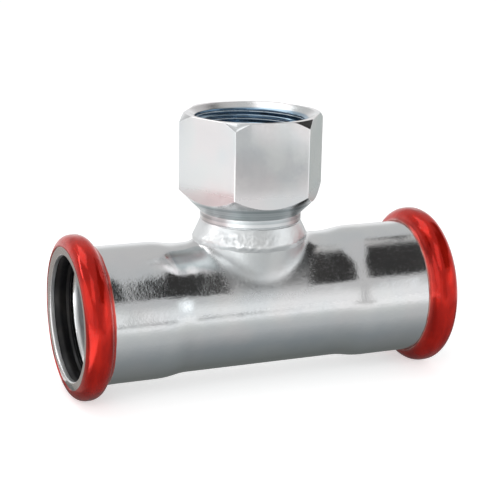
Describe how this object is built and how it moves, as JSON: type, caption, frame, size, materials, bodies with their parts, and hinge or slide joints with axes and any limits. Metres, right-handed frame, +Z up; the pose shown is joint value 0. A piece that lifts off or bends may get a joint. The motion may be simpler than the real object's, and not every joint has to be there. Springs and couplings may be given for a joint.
{
  "type": "threaded tee",
  "caption": "Press tee of plated steel: a straight run with a beaded press socket at each end and a welded hexagonal branch with an internal pipe thread.",
  "frame": {"origin": "where the axis of the run crosses the axis of the branch", "axes": "+X along the run towards the longer end, +Z up the branch, out of its threaded mouth, +Y away from the viewer"},
  "size_m": [0.0904, 0.0374, 0.0632],
  "materials": {
    "plated_tube": "bright bluish zinc plating on drawn steel, faint drawing lines",
    "plated_socket": "bright zinc plating on turned steel",
    "plated_weld": "zinc plating over a rippled weld",
    "seal_rubber": "moulded black rubber, slightly shiny",
    "indicator_film": "glossy red film"
  },
  "bodies": {
    "root": {"tee_body": "plated_tube", "threaded_socket": "plated_socket", "weld_seam": "plated_weld", "seal_ring_left": "seal_rubber", "seal_ring_right": "seal_rubber", "press_indicator_left": "indicator_film", "press_indicator_right": "indicator_film"}
  },
  "joints": []
}
